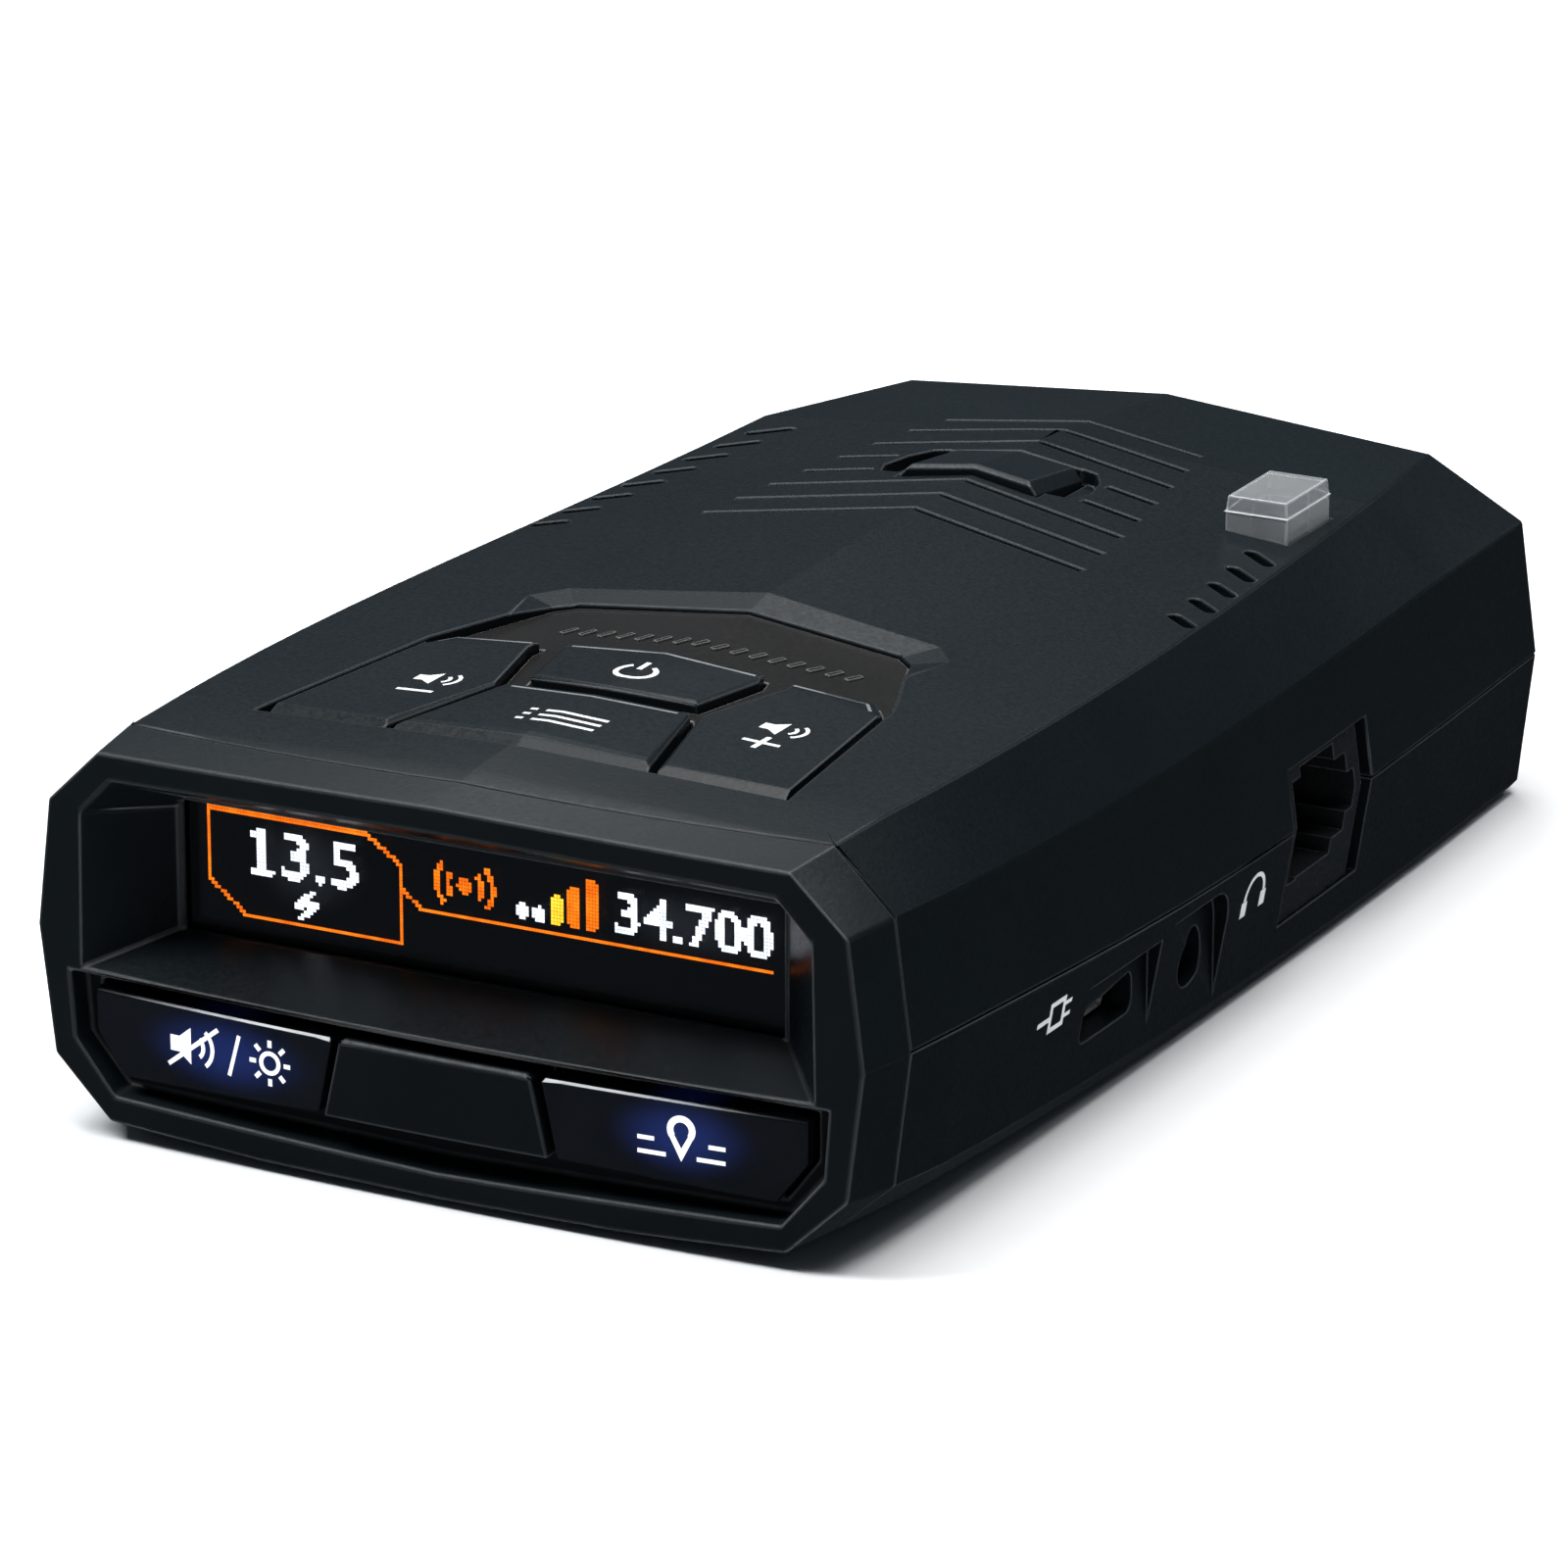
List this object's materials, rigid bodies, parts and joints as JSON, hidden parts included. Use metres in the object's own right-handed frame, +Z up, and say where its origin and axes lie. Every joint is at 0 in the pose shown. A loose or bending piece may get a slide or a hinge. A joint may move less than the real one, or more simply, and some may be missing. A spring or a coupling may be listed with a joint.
{
  "type": "radar detector",
  "caption": "Windscreen radar detector: faceted case, sunk amber display behind a hood, keys under it and on the roof, side sockets and a bracket release.",
  "frame": {"origin": "middle of the footprint on the plane of the underside", "axes": "+Z up, +Y towards the road, +X to the driver's right; the display faces -Y"},
  "size_m": [0.07, 0.123, 0.0329],
  "materials": {
    "case_plastic": "fine-grain matte",
    "bezel_plastic": "satin",
    "window_acrylic": "polished",
    "display_glass": "glossy",
    "foam": "matte",
    "circuit_board": "solder mask",
    "switch_metal": "satin",
    "black_nylon": "satin",
    "key_plastic": "gloss",
    "top_key_plastic": "satin",
    "trim_gloss": "gloss",
    "silicone": "matte",
    "screw_steel": "satin",
    "screw_black": "black zinc",
    "spring_steel": "bright",
    "clear_acrylic": "polished",
    "speaker_steel": "satin",
    "paper_cone": "matte",
    "tin_plate": "bright",
    "ceramic": "fired",
    "cast_zinc": "cast",
    "smoked_acrylic": "polished",
    "gilt_brass": "gilt",
    "label_film": "satin film"
  },
  "bodies": {
    "case": {"top_cover": "case_plastic", "bottom_cover": "case_plastic", "front_bezel": "bezel_plastic", "display_window": "window_acrylic", "display_panel": "display_glass", "display_gasket": "foam", "front_board": "circuit_board", "front_switches": "switch_metal", "board_connector": "black_nylon", "front_center_panel": "case_plastic", "button_trim_plate": "trim_gloss", "keypad": "silicone", "key_board": "circuit_board", "key_board_screws": "screw_steel", "release_spring": "spring_steel", "bracket_guide": "black_nylon", "rear_laser_prism": "clear_acrylic", "laser_sensor": "black_nylon", "speaker": "speaker_steel", "speaker_cone": "paper_cone", "speaker_gasket": "foam", "main_board": "circuit_board", "shield_can": "tin_plate", "gps_antenna": "ceramic", "horn_antenna": "cast_zinc", "road_window": "smoked_acrylic", "road_laser_lens": "clear_acrylic", "road_laser_sensor": "black_nylon", "usb_socket": "tin_plate", "usb_tongue": "black_nylon", "audio_socket": "black_nylon", "audio_contact": "tin_plate", "power_socket": "black_nylon", "power_contacts": "gilt_brass", "label_plate": "label_film", "case_screws": "screw_black", "board_screws": "screw_steel"},
    "power_key": {"power_button": "top_key_plastic"},
    "menu_key": {"menu_button": "top_key_plastic"},
    "volume_up_key": {"volume_up_button": "top_key_plastic"},
    "volume_down_key": {"volume_down_button": "top_key_plastic"},
    "mark_key": {"mark_button": "key_plastic"},
    "mute_key": {"mute_button": "key_plastic"},
    "release": {"release_button": "top_key_plastic", "release_yoke": "black_nylon"}
  },
  "joints": [
    {"name": "power_press", "type": "slide", "parent": "case", "child": "power_key", "axis": [0, 0, -1], "range_m": [0, 0.0007], "stiffness_N_per_m": 1800},
    {"name": "menu_press", "type": "slide", "parent": "case", "child": "menu_key", "axis": [0, 0, -1], "range_m": [0, 0.0007], "stiffness_N_per_m": 1800},
    {"name": "volume_up_press", "type": "slide", "parent": "case", "child": "volume_up_key", "axis": [0, 0, -1], "range_m": [0, 0.0007], "stiffness_N_per_m": 1800},
    {"name": "volume_down_press", "type": "slide", "parent": "case", "child": "volume_down_key", "axis": [0, 0, -1], "range_m": [0, 0.0007], "stiffness_N_per_m": 1800},
    {"name": "mark_press", "type": "slide", "parent": "case", "child": "mark_key", "axis": [0, 1, 0], "range_m": [0, 0.0006], "stiffness_N_per_m": 2200},
    {"name": "mute_press", "type": "slide", "parent": "case", "child": "mute_key", "axis": [0, 1, 0], "range_m": [0, 0.0006], "stiffness_N_per_m": 2200},
    {"name": "release_press", "type": "slide", "parent": "case", "child": "release", "axis": [0, 0, -1], "range_m": [0, 0.0013], "stiffness_N_per_m": 1500, "springref_m": -0.0008, "deforming": ["release_spring"]}
  ]
}
